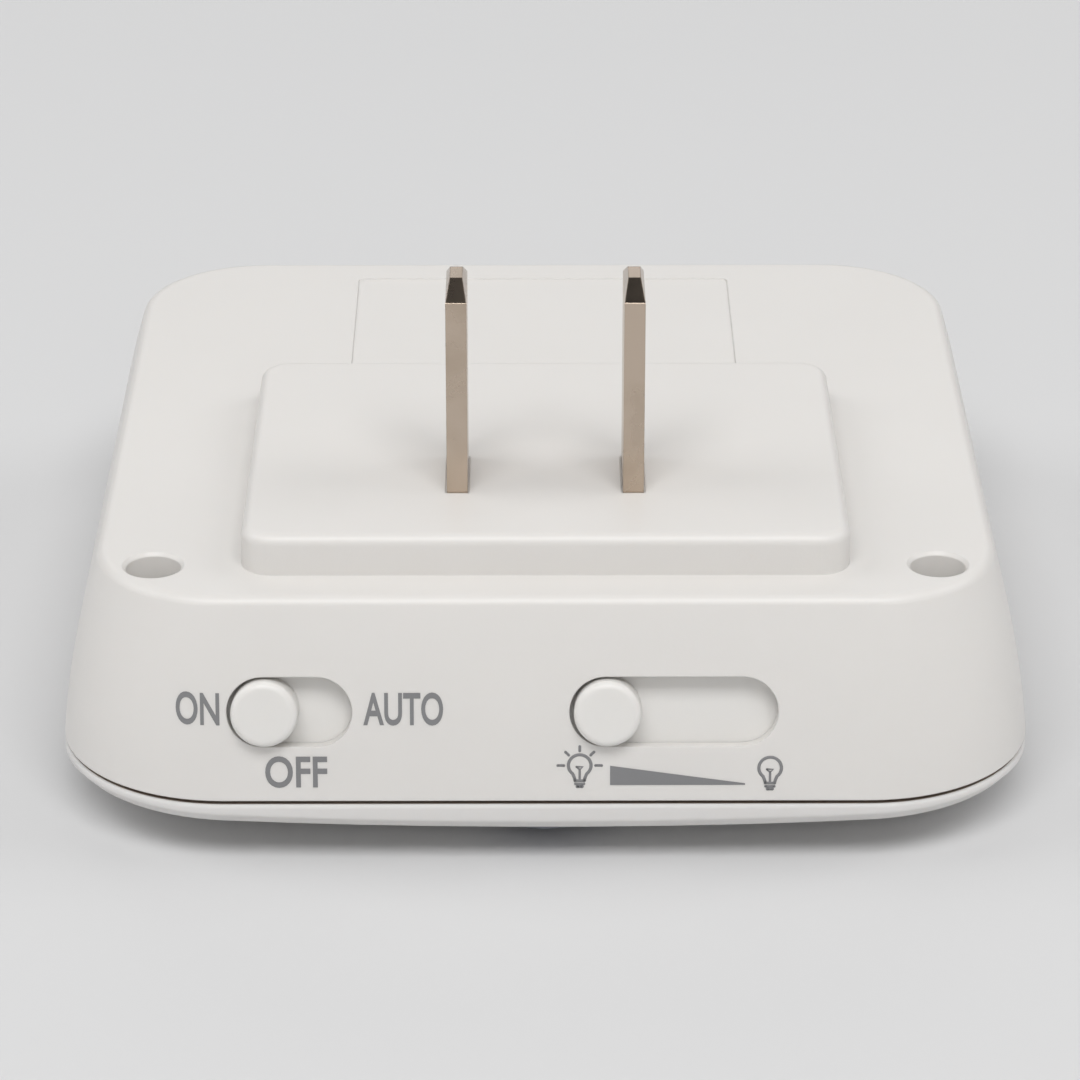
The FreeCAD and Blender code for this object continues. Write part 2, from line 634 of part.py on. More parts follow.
def screw(name, x, y, head_z, length, up):
    """A pan head screw whose head's underside is at head_z, with its shank going up or down."""
    head_low = head_z - size("head_height") if up else head_z
    shank_low = head_z if up else as_size(head_z) - length
    head = cylinder(f"{name}_head", (x, y, head_low), size("screw_head"), size("head_height"))
    shank = cylinder(f"{name}_shank", (x, y, shank_low), size("screw_shank"), length)
    return join(name, [head, shank])


def blade_parts():
    blade("left", -1)
    blade("right", 1)
    holder = rounded_plate("holder_blank", size("holder_width"), size("holder_depth"), as_size(2.0), holder_z, foot_z)
    doc.recompute()
    holes = [cylinder(f"holder_free_hole_{n}", (0.0, s * size("holder_screw_place"), holder_z - 1),
                      size("screw_free_hole"), 6.0) for n, s in (("near", -1), ("far", 1))]
    windows = [centred_box("holder_core", (0.0, 0.0, holder_z), (size("blade_spacing") - 4, 7.0, 2.0))]
    named(cut("holder", holder, holes + windows), "blade_holder")
    screws = [screw(f"holder_screw_{n}", 0.0, s * size("holder_screw_place"), holder_z,
                    size("holder_thickness") + 2.2, True) for n, s in (("near", -1), ("far", 1))]
    named(group("holder_screw_pair", screws), "holder_screws")


def case_screws():
    floor = back_z - size("well_depth")
    length = size("boss_bottom") + floor + 3.2
    screws = [screw(f"housing_screw_{n}", s * well_x, well_y, floor, length, False)
              for n, s in (("left", -1), ("right", 1))]
    named(group("housing_screw_pair", screws), "housing_screws")


# The two sliders


def knob(name, rest):
    """A round knob on its dust plate, with a socket behind for the switch lever."""
    thickness, skin = size("plate_thickness"), size("slot_skin") + size("running_gap")
    plate_height = size("slot_height") + 2 * size("plate_cover")
    cap = cylinder(f"{name}_cap", (0.0, 0.0, -skin - thickness / 2), size("knob_diameter") / 2,
                   skin + thickness / 2 + size("knob_proud"))
    cap_top = size("knob_proud").value
    cap_round = round_edges(f"{name}_cap_round", cap, size("knob_round"), on_level(cap_top))
    dust = centred_box(f"{name}_dust", (0.0, 0.0, -skin - thickness / 2),
                       (2 * plate_half(name), plate_height, thickness))
    side, depth = size("socket_side"), size("socket_depth")
    socket = centred_box(f"{name}_socket", (0.0, 0.0, -skin - thickness - depth / 2 + 0.1), (side, side, depth + 0.2))
    hole = centred_box(f"{name}_socket_hole", (0.0, 0.0, -skin - thickness - depth / 2),
                       (size("lever_width") + 2 * size("running_gap"), size("lever_width") + 0.8, depth))
    whole = cut(f"{name}_whole", join(f"{name}_solids", [cap_round, dust, socket]), [hole])
    return named(tilt(whole, rest), f"{name}_knob")


def slide_switch(name, place_x, length, rest, travel, pins, wiper):
    """A slide switch on the board: base, folded frame, lever block, contact and pins."""
    front = switch_front
    depth, sheet_gap = size("slider_case_depth"), size("case_sheet")
    height = 2 * size("lever_rise")
    base = size("base_thickness")
    middle_y = front + depth / 2
    inner_depth = depth - 2 * sheet_gap
    named(centred_box(f"{name}_base_plate", (place_x, middle_y, board_back_z + base / 2),
                      (length - 2 * sheet_gap, inner_depth, base)), f"{name}_base")
    outer = centred_box(f"{name}_frame_blank", (place_x, middle_y, board_back_z + height / 2), (length, depth, height))
    inside = centred_box(f"{name}_frame_inside", (place_x, middle_y, board_back_z + (height - sheet_gap) / 2 - 0.5),
                         (length - 2 * sheet_gap, inner_depth, height - sheet_gap + 1))
    lever = size("lever_width")
    mouth = centred_box(f"{name}_frame_mouth", (place_x, front, lever_z),
                        (travel + lever + 0.6, 2.0, lever + 2 * size("running_gap")))
    named(cut(f"{name}_folded", outer, [inside, mouth]), f"{name}_frame")

    carriage_low = board_back_z + base + 0.5
    carriage_high = board_back_z + height - sheet_gap - size("running_gap")
    carriage = box(f"{name}_carriage",
                   (rest - size("carriage_length") / 2, front + sheet_gap + size("running_gap"), carriage_low),
                   (size("carriage_length"), inner_depth - 2 * size("running_gap"), carriage_high - carriage_low))
    reach = size("slider_setback") - size("lever_shortfall")
    stem = box(f"{name}_stem", (rest - lever / 2, front - reach, lever_z - lever / 2), (lever, reach + 0.6, lever))
    named(join(f"{name}_lever_block", [carriage, stem]), f"{name}_slider")
    contact = box(f"{name}_contact_strip",
                  (rest - size("carriage_length") / 2 + 0.4, front + depth / 2 - 0.6, board_back_z + base + 0.1),
                  (size("carriage_length") - 0.8, 1.2, 0.4))
    named(contact, wiper)
    pin = size("pin_side")
    legs = []
    for i, x in enumerate(pins):
        legs.append(centred_box(f"{name}_pin_{i}", (place_x + x, middle_y, board_back_z - size("pin_reach") / 2),
                                (pin, pin, size("pin_reach"))))
    named(group(f"{name}_pin_row", legs), f"{name}_pins")
    return [(place_x + x, middle_y) for x in pins]


# Board and electronics


def circuit_board(pin_places):
    tongue_half = half["rim"] - size("tongue_inset")
    main = box("board_main", (-board_half, board_step_y, board_front_z),
               (2 * board_half, board_far_y - board_step_y, size("board_thickness")))
    tongue = box("board_tongue", (-tongue_half, board_near_y, board_front_z),
                 (2 * tongue_half, size("board_step") + 0.5, size("board_thickness")))
    holes = [cylinder(f"board_hole_{i}", (x, y, board_front_z - 1), size("screw_free_hole"), 4.0)
             for i, (x, y) in enumerate(post_places)]
    pin = size("pin_side") + size("running_gap")
    for i, (x, y) in enumerate(pin_places):
        holes.append(centred_box(f"board_pin_hole_{i}", (x, y, board_back_z), (pin, pin, 6.0)))
    blank = join("board_blank", [main, tongue])
    corners = round_edges("board_corners", blank, size("board_corner"), is_far_corner)
    named(cut("board", corners, holes), "circuit_board")
    screws = [screw(f"board_screw_{i}", x, y, board_front_z, size("board_screw_length"), True)
              for i, (x, y) in enumerate(post_places)]
    named(group("board_screw_set", screws), "board_screws")


def is_far_corner(edge):
    upright = edge.BoundBox.ZLength > 0.9 * size("board_thickness").value and edge.BoundBox.XLength < 0.01
    return upright and edge.BoundBox.Center.y > board_far_y.value - 0.1


def rounded_case(name, low, extent, radius):
    blank = box(name, low, extent)
    return round_edges(f"{name}_rounded", blank, as_size(radius), lambda e: e.BoundBox.ZLength > 1)


def electronics():
    leds = []
    for i in range(6):
        angle = math.radians(60 * i + 30)
        x = size("led_ring") * math.cos(angle)
        y = centre_y + size("led_ring") * math.sin(angle)
        leds.append(centred_box(f"led_{i}", (x, y, board_front_z - size("led_height") / 2),
                                (size("led_length"), size("led_width"), size("led_height"))))
    named(group("led_ring_group", leds), "leds")

    sensor_y = lens_y
    body = cylinder("sensor_body", (0.0, sensor_y, board_front_z - 3.0), 1.5, 3.0)
    tip = sphere("sensor_tip", (0.0, sensor_y, board_front_z - 3.0), 1.5)
    named(join("sensor", [body, tip]), "light_sensor")

    named(rounded_case("film_block", (-22.0, 12.0, board_back_z), (13.0, 6.0, 7.0), 1.0), "film_capacitor")
    named(cylinder("can", (9.0, 16.0, board_back_z + 3.2), 3.15, 11.0, "X"), "electrolytic_capacitor")
    legs = [box(f"bridge_leg_{i}", (-17.6 + 2.5 * (i % 2), 27.5 + 4.4 * (i // 2), board_back_z), (0.6, 1.2, 0.3))
            for i in range(4)]
    case = box("bridge_case", (-18.4, 28.2, board_back_z + 0.05), (4.7, 3.8, 1.6))
    named(join("bridge", [case] + legs), "bridge_rectifier")
    chip_legs = [box(f"chip_leg_{i}", (0.3 + 1.27 * (i % 4), 27.3 + 4.4 * (i // 4), board_back_z), (0.45, 1.1, 0.25))
                 for i in range(8)]
    chip = box("chip_case", (0.2, 28.1, board_back_z + 0.05), (4.9, 3.9, 1.5))
    named(join("chip", [chip] + chip_legs), "control_chip")
    resistors = [box(f"resistor_{i}", (-8.0 + 5.2 * i, 37.0, board_back_z), (3.2, 1.6, 0.6)) for i in range(5)]
    named(group("resistor_row", resistors), "chip_resistors")
    roll = cylinder("fuse_roll", (16.0, 25.0, board_back_z + 1.6), 1.5, 8.0, "Y")
    ends = [cylinder(f"fuse_leg_{i}", (16.0, y, board_back_z), 0.4, 2.0) for i, y in enumerate((23.6, 34.4))]
    wires = [cylinder(f"fuse_wire_{i}", (16.0, y, board_back_z + 1.6), 0.3, 1.6, "Y")
             for i, y in enumerate((23.6, 32.8))]
    named(join("fuse", [roll] + ends + wires), "fuse_resistor")


def feed_wire(label, sign):
    """An insulated wire from a blade's foot to the board, as straight runs joined by tangent arcs."""
    foot_x = (blade_x + size("foot_length")).value - 0.4
    radius = size("wire_radius").value
    points = [FreeCAD.Vector(sign * foot_x, 0.0, foot_z.value),
              FreeCAD.Vector(sign * foot_x, 0.6, foot_z.value - 3.4),
              FreeCAD.Vector(sign * (foot_x + 2.0), 2.4, foot_z.value - 6.9),
              FreeCAD.Vector(sign * (foot_x + 2.0), 3.0, board_back_z.value)]
    edges, start = [], points[0]
    for before, corner, after in zip(points, points[1:], points[2:]):
        run_in, run_out = corner - before, after - corner
        turn = run_in.getAngle(run_out)
        trim = 0.45 * min(run_in.Length, run_out.Length)
        into, out = run_in.normalize(), run_out.normalize()
        begin, end = corner - into * trim, corner + out * trim
        bend = trim / math.tan(turn / 2)
        middle_way = (end - begin).normalize()
        inward = (out - into).normalize()
        centre = corner + inward * (bend / math.cos(turn / 2))
        top = centre - inward * bend
        edges.append(Part.LineSegment(start, begin).toShape())
        edges.append(Part.Arc(begin, top, end).toShape())
        print(label, "bend radius", round(bend, 2), "mm along", round(middle_way.Length, 1))
        start = end
    edges.append(Part.LineSegment(start, points[-1]).toShape())
    path = Part.Wire(edges)
    ring = Part.Wire([Part.Circle(points[0], points[1] - points[0], radius).toShape()])
    tube = path.makePipeShell([ring], True, False)
    print(label, "volume share", round(tube.Volume / (math.pi * radius**2 * path.Length), 3))
    wire = doc.addObject("Part::Feature", f"{label}_tube")
    trimmed = tube.common(Part.makeBox(60, 60, foot_z.value - board_back_z.value,
                                       FreeCAD.Vector(-30, -30, board_back_z.value)))
    wire.Shape = trimmed
    return named(wire, label)


# Build, check and write


rear_housing()
front_cover()
sensor_window()
blade_parts()
case_screws()
knob("mode", mode_rest)
knob("dimmer", dimmer_rest)
mode_pins = slide_switch("mode_switch", slot_x["mode"], size("mode_case_length"), mode_rest, mode_travel,
                         (-3.6, -1.2, 1.2, 3.6), "mode_switch_contact")
dimmer_pins = slide_switch("dimmer", slot_x["dimmer"], size("dimmer_case_length"), dimmer_rest,
                           dimmer_travel, (-6.4, 0.0, 9.5), "dimmer_wiper")
circuit_board(mode_pins + dimmer_pins)
electronics()
doc.recompute()
feed_wire("live_wire", 1)
feed_wire("neutral_wire", -1)
doc.recompute()

for thing in doc.Objects:
    if "Invalid" in thing.State or "Error" in thing.State:
        raise RuntimeError(f"{thing.Name} failed: {thing.State}")
for label, thing in nodes.items():
    if thing.Shape.isNull() or not thing.Shape.isValid():
        raise RuntimeError(f"{label} has no valid shape")
    if not thing.Shape.Solids:
        raise RuntimeError(f"{label} has no solid")

os.makedirs("parts", exist_ok=True)
for label, thing in nodes.items():
    thing.Shape.exportStep(f"parts/{label}.step")
    print(label, len(thing.Shape.Solids), "solids", round(thing.Shape.Volume, 1), "mm3")
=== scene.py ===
import json
import math
import bpy
from mathutils import Matrix, Vector
from mathutils.bvhtree import BVHTree


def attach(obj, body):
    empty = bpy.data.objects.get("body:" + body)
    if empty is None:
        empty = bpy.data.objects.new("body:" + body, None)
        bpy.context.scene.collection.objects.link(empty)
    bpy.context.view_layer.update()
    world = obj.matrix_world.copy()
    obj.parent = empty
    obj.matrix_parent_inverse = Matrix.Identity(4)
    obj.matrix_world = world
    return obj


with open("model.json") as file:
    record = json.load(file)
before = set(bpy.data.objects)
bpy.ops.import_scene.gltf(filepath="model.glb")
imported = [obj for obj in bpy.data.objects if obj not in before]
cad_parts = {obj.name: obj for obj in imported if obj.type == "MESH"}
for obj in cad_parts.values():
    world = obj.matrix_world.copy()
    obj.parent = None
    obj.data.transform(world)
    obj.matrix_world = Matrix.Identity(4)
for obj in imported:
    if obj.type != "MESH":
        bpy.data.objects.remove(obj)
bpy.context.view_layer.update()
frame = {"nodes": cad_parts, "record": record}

MM = 0.001

# Sizes and places are in millimetres from the middle of the plug face, and angles in degrees

# How far the slider side leans from the blades' direction
WALL_LEAN = 12.2

# The table: the depth and height where the dome rests on it, how steeply it rises away, its side and its tone
FLOOR_TOUCH = (-10.9, -22.6)
FLOOR_RISE = 0.035
FLOOR_SIDE = 4000.0
FLOOR_TONE = (0.675, 0.675, 0.678, 1)

# Print: how far its face and its foot stand off the wall, and how far off a search for the wall starts
INK_TOP = 0.03
INK_FOOT = 0.004
SEARCH_START = 100.0

# Print as it is drawn: its half thickness, the level above which a point is its face, and what letters gain
INK_HALF = 0.01
INK_LEVEL = 0.0001
STROKE_WEIGHT = 0.018

# Each word with its left, right, top and bottom edge
WORDS = (("ON", -26.12, -23.02, -9.6, -11.96),
         ("AUTO", -12.88, -7.25, -9.6, -11.96),
         ("OFF", -19.86, -15.47, -14.22, -16.54))

# The brightness scale's bulbs, each with its name, whether it has rays, and its middle
BULBS = (("print_bright_bulb", True, (2.38, -14.92)),
         ("print_dim_bulb", False, (15.85, -15.12)))

# The scale's tapering bar, and its height at the tip as a share of its full height
BAR_SIZE = (9.56, 1.44)
BAR_MIDDLE = (9.31, -15.66)
BAR_TIP = 0.08

# A bulb's outline about the middle of its glass, which runs from one side of its neck to the other
GLASS_RADIUS = 0.80
GLASS_START = -52
GLASS_END = 232
GLASS_STEPS = 24
NECK = ((0.40, -0.86), (0.34, -1.06))
GLASS_LINE = 0.23

# The bulb's filament and the stem that carries it
FILAMENT = ((-0.22, -0.10), (0.22, -0.10), (0.0, -0.34), (-0.22, -0.10))
FILAMENT_LINE = 0.15
STEM = ((0.0, -0.30), (0.0, -0.98))
STEM_LINE = 0.17

# The bulb's screw base, each ring with its half width, height and line width
BASE_RINGS = ((0.34, -1.14, 0.20), (0.30, -1.38, 0.20), (0.17, -1.58, 0.24))

# The bright bulb's rays, each with its angle and how near and far it reaches
RAYS = ((180, 1.12, 1.55), (135, 1.10, 1.42), (90, 1.10, 1.42), (45, 1.10, 1.42), (0, 1.12, 1.55))
RAY_LINE = 0.20

# The joint between housing and cover: the height and half width of the band of painted shade in its deep
# groove
SEAM_HEIGHT = -17.73
SEAM_REACH = 0.17

# The slots that the blades stand in, and the frame that closes each one
BLADE_PLACE = 6.35
SLOT_WIDTH = 1.7
SLOT_LENGTH = 6.55
SLEEVE_WALL = 0.09
SLEEVE_DEPTH = 0.03
SLEEVE_HEIGHT = 0.8

# How deep the mould's grain goes, how deep rolled lines and a polish go, and how far light enters plastic
GRAIN_DEPTH = 0.02
POLISH_DEPTH = 0.01
LIGHT_DEPTH = 1.2

# The photograph's camera, and how near and far it sees
LENS = 151.97
SENSOR_WIDTH = 36.0
CAMERA_PLACE = (-1.27, -302.91, 134.9)
CAMERA_DOWN = 24.829
CAMERA_TURN = 0.169
CAMERA_NEAR = 10.0
CAMERA_FAR = 20000.0

# The studio's lamps in metres and watts: what they face, then each one's name, place, size and power
LAMP_AIM = (0, 0.01, -0.01)
LAMPS = (("back_box", (0.0, 1.5, 0.85), (1.8, 0.8), 2.7),
         ("left_box", (-1.1, 0.1, 0.9), (0.8, 0.8), 3.9),
         ("right_box", (1.1, 0.1, 0.9), (0.8, 0.8), 3.9),
         ("front_box", (0.0, -0.8, 1.38), (1.4, 0.6), 17.3),
         ("fill_box", (0.0, -1.35, 0.6), (1.6, 0.5), 1.9))

# The room: how high a direction points, from 0 for level to 1 for straight up, with how bright it is there
ROOM_STOPS = ((0.0, 0.3), (0.45, 0.8), (0.66, 0.8), (0.9, 0.015))
ROOM_STRENGTH = 0.55


# Selecting and finishing


def only(*things):
    """Leave just these objects selected, the first of them active."""
    bpy.ops.object.select_all(action="DESELECT")
    for thing in things:
        thing.select_set(True)
    bpy.context.view_layer.objects.active = things[0]


def settle(thing):
    """Put the object's place, turn and size into its mesh."""
    only(thing)
    bpy.ops.object.transform_apply(location=True, rotation=True, scale=True)


def finish_piece(thing, name, body, material):
    """Name a new piece, dress it and fix it to the CAD body that carries it."""
    thing.name = name
    thing.data.name = name
    thing.data.materials.clear()
    thing.data.materials.append(material)
    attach(thing, body)


# Shader groups shared by the materials


def new_group(name, inputs, outputs):
    """An empty shader group with these named inputs and outputs, and its two end nodes."""
    group = bpy.data.node_groups.new(name, "ShaderNodeTree")
    for label, kind, value in inputs:
        socket = group.interface.new_socket(label, in_out="INPUT", socket_type=kind)
        if value is not None:
            socket.default_value = value
    for label, kind in outputs:
        group.interface.new_socket(label, in_out="OUTPUT", socket_type=kind)
    start = group.nodes.new("NodeGroupInput")
    end = group.nodes.new("NodeGroupOutput")
    return group, start, end


def moulded_grain():
    """The mould's eroded texture: a fine even grain, with a tone and sheen that drift slowly."""
    group, start, end = new_group(
        "moulded_grain",
        [("Colour", "NodeSocketColor", (0.8, 0.8, 0.8, 1)), ("Grain scale", "NodeSocketFloat", 4200.0),
         ("Roughness", "NodeSocketFloat", 0.45), ("Drift", "NodeSocketFloat", 0.05)],
        [("Colour", "NodeSocketColor"), ("Roughness", "NodeSocketFloat"), ("Height", "NodeSocketFloat")])
    nodes, links = group.nodes, group.links
    place = nodes.new("ShaderNodeTexCoord")
    grain = nodes.new("ShaderNodeTexNoise")
    grain.inputs["Detail"].default_value = 3.0
    links.new(place.outputs["Object"], grain.inputs["Vector"])
    links.new(start.outputs["Grain scale"], grain.inputs["Scale"])
    slow = nodes.new("ShaderNodeTexNoise")
    slow.inputs["Scale"].default_value = 90.0
    slow.inputs["Detail"].default_value = 4.0
    links.new(place.outputs["Object"], slow.inputs["Vector"])
    centred = nodes.new("ShaderNodeMath")
    centred.operation = "SUBTRACT"
    centred.inputs[1].default_value = 0.5
    links.new(slow.outputs["Fac"], centred.inputs[0])
    drift = nodes.new("ShaderNodeMath")
    drift.operation = "MULTIPLY_ADD"
    links.new(centred.outputs[0], drift.inputs[0])
    links.new(start.outputs["Drift"], drift.inputs[1])
    links.new(start.outputs["Roughness"], drift.inputs[2])
    tone = nodes.new("ShaderNodeMath")
    tone.operation = "MULTIPLY_ADD"
    tone.inputs[1].default_value = 0.035
    tone.inputs[2].default_value = 1.0
    links.new(centred.outputs[0], tone.inputs[0])
    shade = nodes.new("ShaderNodeVectorMath")
    shade.operation = "SCALE"
    links.new(start.outputs["Colour"], shade.inputs[0])
    links.new(tone.outputs[0], shade.inputs["Scale"])
    links.new(shade.outputs[0], end.inputs["Colour"])
    links.new(drift.outputs[0], end.inputs["Roughness"])
    links.new(grain.outputs["Fac"], end.inputs["Height"])
    return group


def rolled_metal():
    """Rolled and plated sheet: fine lines along one direction, cloudy tone and small stains."""
    group, start, end = new_group(
        "rolled_metal",
        [("Colour", "NodeSocketColor", (0.6, 0.6, 0.6, 1)), ("Stain", "NodeSocketColor", (0.4, 0.36, 0.3, 1)),
         ("Lines", "NodeSocketVector", (9000.0, 9000.0, 160.0)), ("Roughness", "NodeSocketFloat", 0.3)],
        [("Colour", "NodeSocketColor"), ("Roughness", "NodeSocketFloat"), ("Height", "NodeSocketFloat")])
    nodes, links = group.nodes, group.links
    place = nodes.new("ShaderNodeTexCoord")
    stretched = nodes.new("ShaderNodeVectorMath")
    stretched.operation = "MULTIPLY"
    links.new(place.outputs["Object"], stretched.inputs[0])
    links.new(start.outputs["Lines"], stretched.inputs[1])
    lines = nodes.new("ShaderNodeTexNoise")
    lines.inputs["Scale"].default_value = 1.0
    lines.inputs["Detail"].default_value = 2.0
    links.new(stretched.outputs[0], lines.inputs["Vector"])
    cloud = nodes.new("ShaderNodeTexNoise")
    cloud.inputs["Scale"].default_value = 260.0
    cloud.inputs["Detail"].default_value = 5.0
    links.new(place.outputs["Object"], cloud.inputs["Vector"])
    mask = nodes.new("ShaderNodeMapRange")
    mask.inputs["From Min"].default_value = 0.45
    mask.inputs["From Max"].default_value = 0.8
    mask.inputs["To Max"].default_value = 0.45
    links.new(cloud.outputs["Fac"], mask.inputs["Value"])
    stain = nodes.new("ShaderNodeMix")
    stain.data_type = "RGBA"
    links.new(mask.outputs["Result"], stain.inputs["Factor"])
    links.new(start.outputs["Colour"], stain.inputs["A"])
    links.new(start.outputs["Stain"], stain.inputs["B"])
    rough = nodes.new("ShaderNodeMath")
    rough.operation = "MULTIPLY_ADD"
    rough.inputs[1].default_value = 0.16
    links.new(cloud.outputs["Fac"], rough.inputs[0])
    links.new(start.outputs["Roughness"], rough.inputs[2])
    links.new(stain.outputs["Result"], end.inputs["Colour"])
    links.new(rough.outputs[0], end.inputs["Roughness"])
    links.new(lines.outputs["Fac"], end.inputs["Height"])
    return group


def seam_painted_shade():
    """Painted shade in the deep joint between housing and cover, laid on by its height on the light."""
    group, start, end = new_group(
        "seam_painted_shade",
        [("Colour", "NodeSocketColor", (0.8, 0.8, 0.8, 1)),
         ("Painted shade", "NodeSocketColor", (0.27, 0.22, 0.18, 1)),
         ("Height", "NodeSocketFloat", 0.0), ("Reach", "NodeSocketFloat", 0.0002)],
        [("Colour", "NodeSocketColor")])
    nodes, links = group.nodes, group.links
    place = nodes.new("ShaderNodeTexCoord")
    level = nodes.new("ShaderNodeSeparateXYZ")
    links.new(place.outputs["Object"], level.inputs["Vector"])
    # Painted shade: points within reach of the joint's height take the dark colour that stands in for the
    # shadow in the groove
    inside = nodes.new("ShaderNodeMath")
    inside.operation = "COMPARE"
    links.new(level.outputs["Z"], inside.inputs[0])
    links.new(start.outputs["Height"], inside.inputs[1])
    links.new(start.outputs["Reach"], inside.inputs[2])
    tint = nodes.new("ShaderNodeMix")
    tint.data_type = "RGBA"
    links.new(inside.outputs[0], tint.inputs["Factor"])
    links.new(start.outputs["Colour"], tint.inputs["A"])
    links.new(start.outputs["Painted shade"], tint.inputs["B"])
    links.new(tint.outputs["Result"], end.inputs["Colour"])
    return group


GRAIN = moulded_grain()
ROLLED = rolled_metal()
SEAM_SHADE = seam_painted_shade()


# Materials


def base_material(name):
    """A new material with its nodes, its links and its main shader."""
    material = bpy.data.materials.new(name)
    material.use_nodes = True
    nodes = material.node_tree.nodes
    return material, nodes, material.node_tree.links, nodes["Principled BSDF"]


def relief(nodes, links, height, shader, strength, depth, rounding=0.0):
    """Feed a fine relief to the shader, over edges softened by this radius, both in millimetres."""
    bump = nodes.new("ShaderNodeBump")
    bump.inputs["Strength"].default_value = strength
    bump.inputs["Distance"].default_value = depth * MM
    links.new(height, bump.inputs["Height"])
    links.new(bump.outputs["Normal"], shader.inputs["Normal"])
    if rounding:
        soft_edge = nodes.new("ShaderNodeBevel")
        soft_edge.samples = 6
        soft_edge.inputs["Radius"].default_value = rounding * MM
        links.new(soft_edge.outputs["Normal"], bump.inputs["Normal"])


def plastic(name, colour, roughness, grain_scale=4200.0, strength=0.25, soft=0.0, rounding=0.0, seam=False):
    """Moulded plastic: soft lets light in under the surface, and seam paints shade into the joint."""
    material, nodes, links, shader = base_material(name)
    texture = nodes.new("ShaderNodeGroup")
    texture.node_tree = GRAIN
    texture.inputs["Colour"].default_value = (*colour, 1)
    texture.inputs["Grain scale"].default_value = grain_scale
    texture.inputs["Roughness"].default_value = roughness
    tinted = texture
    # Painted shade: with seam, a dark band is painted along the joint between housing and cover
    if seam:
        tinted = nodes.new("ShaderNodeGroup")
        tinted.node_tree = SEAM_SHADE
        tinted.inputs["Height"].default_value = SEAM_HEIGHT * MM
        tinted.inputs["Reach"].default_value = SEAM_REACH * MM
        links.new(texture.outputs["Colour"], tinted.inputs["Colour"])
    links.new(tinted.outputs["Colour"], shader.inputs["Base Color"])
    links.new(texture.outputs["Roughness"], shader.inputs["Roughness"])
    relief(nodes, links, texture.outputs["Height"], shader, strength, GRAIN_DEPTH, rounding)
    shader.inputs["IOR"].default_value = 1.5
    if soft:
        shader.inputs["Subsurface Weight"].default_value = soft
        shader.inputs["Subsurface Radius"].default_value = (1.0, 0.9, 0.8)
        shader.inputs["Subsurface Scale"].default_value = LIGHT_DEPTH * MM
    return material


def metal(name, colour, stain, roughness, lines=(9000.0, 9000.0, 160.0), rounding=0.0):
    """Plated or rolled sheet with faint stains."""
    material, nodes, links, shader = base_material(name)
    texture = nodes.new("ShaderNodeGroup")
    texture.node_tree = ROLLED
    texture.inputs["Colour"].default_value = (*colour, 1)
    texture.inputs["Stain"].default_value = (*stain, 1)
    texture.inputs["Lines"].default_value = lines
    texture.inputs["Roughness"].default_value = roughness
    links.new(texture.outputs["Colour"], shader.inputs["Base Color"])
    links.new(texture.outputs["Roughness"], shader.inputs["Roughness"])
    relief(nodes, links, texture.outputs["Height"], shader, strength=0.2, depth=POLISH_DEPTH,
           rounding=rounding)
    shader.inputs["Metallic"].default_value = 1.0
    return material


def clear_window():
    """The dome's clear plastic, a little grey over the dark case behind it."""
    material, nodes, links, shader = base_material("sensor_window_clear")
    texture = nodes.new("ShaderNodeGroup")
    texture.node_tree = GRAIN
    texture.inputs["Colour"].default_value = (0.44, 0.45, 0.52, 1)
    texture.inputs["Roughness"].default_value = 0.12
    links.new(texture.outputs["Colour"], shader.inputs["Base Color"])
    links.new(texture.outputs["Roughness"], shader.inputs["Roughness"])
    relief(nodes, links, texture.outputs["Height"], shader, strength=0.05, depth=POLISH_DEPTH)
    shader.inputs["IOR"].default_value = 1.49
    shader.inputs["Transmission Weight"].default_value = 0.45
    return material


MATERIALS = {
    "white_shell": plastic("white_shell_satin", (0.735, 0.715, 0.69), 0.4, soft=0.12, rounding=0.15,
                           seam=True),
    "diffuser": plastic("diffuser_satin", (0.72, 0.705, 0.69), 0.38, grain_scale=3000.0, strength=0.12,
                        soft=0.3, rounding=0.4, seam=True),
    "knob": plastic("knob_satin", (0.755, 0.74, 0.715), 0.36, grain_scale=5200.0, strength=0.15, soft=0.12,
                    rounding=0.2),
    "window": clear_window(),
    "nickel_blade": metal("nickel_plate", (0.55, 0.455, 0.37), (0.38, 0.30, 0.22), 0.18, rounding=0.12),
    "steel": metal("zinc_plated_steel", (0.58, 0.58, 0.57), (0.40, 0.39, 0.36), 0.3,
                   lines=(3000.0, 3000.0, 3000.0)),
    "black_plastic": plastic("black_phenolic", (0.035, 0.035, 0.038), 0.5, grain_scale=3000.0),
    "board": plastic("green_board", (0.03, 0.16, 0.07), 0.35, grain_scale=1800.0),
    "led": plastic("led_resin", (0.75, 0.62, 0.18), 0.2, grain_scale=2500.0),
    "sensor": plastic("sensor_resin", (0.05, 0.05, 0.07), 0.15, grain_scale=2500.0, strength=0.05),
    "film_case": plastic("dipped_resin", (0.42, 0.07, 0.04), 0.25, grain_scale=1500.0),
    "can": plastic("can_sleeve", (0.03, 0.035, 0.08), 0.3, grain_scale=2000.0),
    "brass_contact": metal("contact_brass", (0.70, 0.52, 0.22), (0.40, 0.25, 0.10), 0.25),
    "wire_sleeve": plastic("black_sleeve", (0.02, 0.02, 0.02), 0.35, grain_scale=2500.0),
    "wire_sleeve_pale": plastic("white_sleeve", (0.70, 0.70, 0.68), 0.35, grain_scale=2500.0),
}
INK = plastic("grey_print", (0.215, 0.215, 0.22), 0.5, grain_scale=6000.0, strength=0.3)


def dress_cad_nodes():
    """Give each node that came from CAD its finish."""
    slots = {part["node"]: part["material_slot"] for part in frame["record"]["subparts"]}
    for node, thing in frame["nodes"].items():
        material = MATERIALS[slots[node]]
        thing.data.materials.clear()
        thing.data.materials.append(material)


# Sleeves that close the slots round the blades


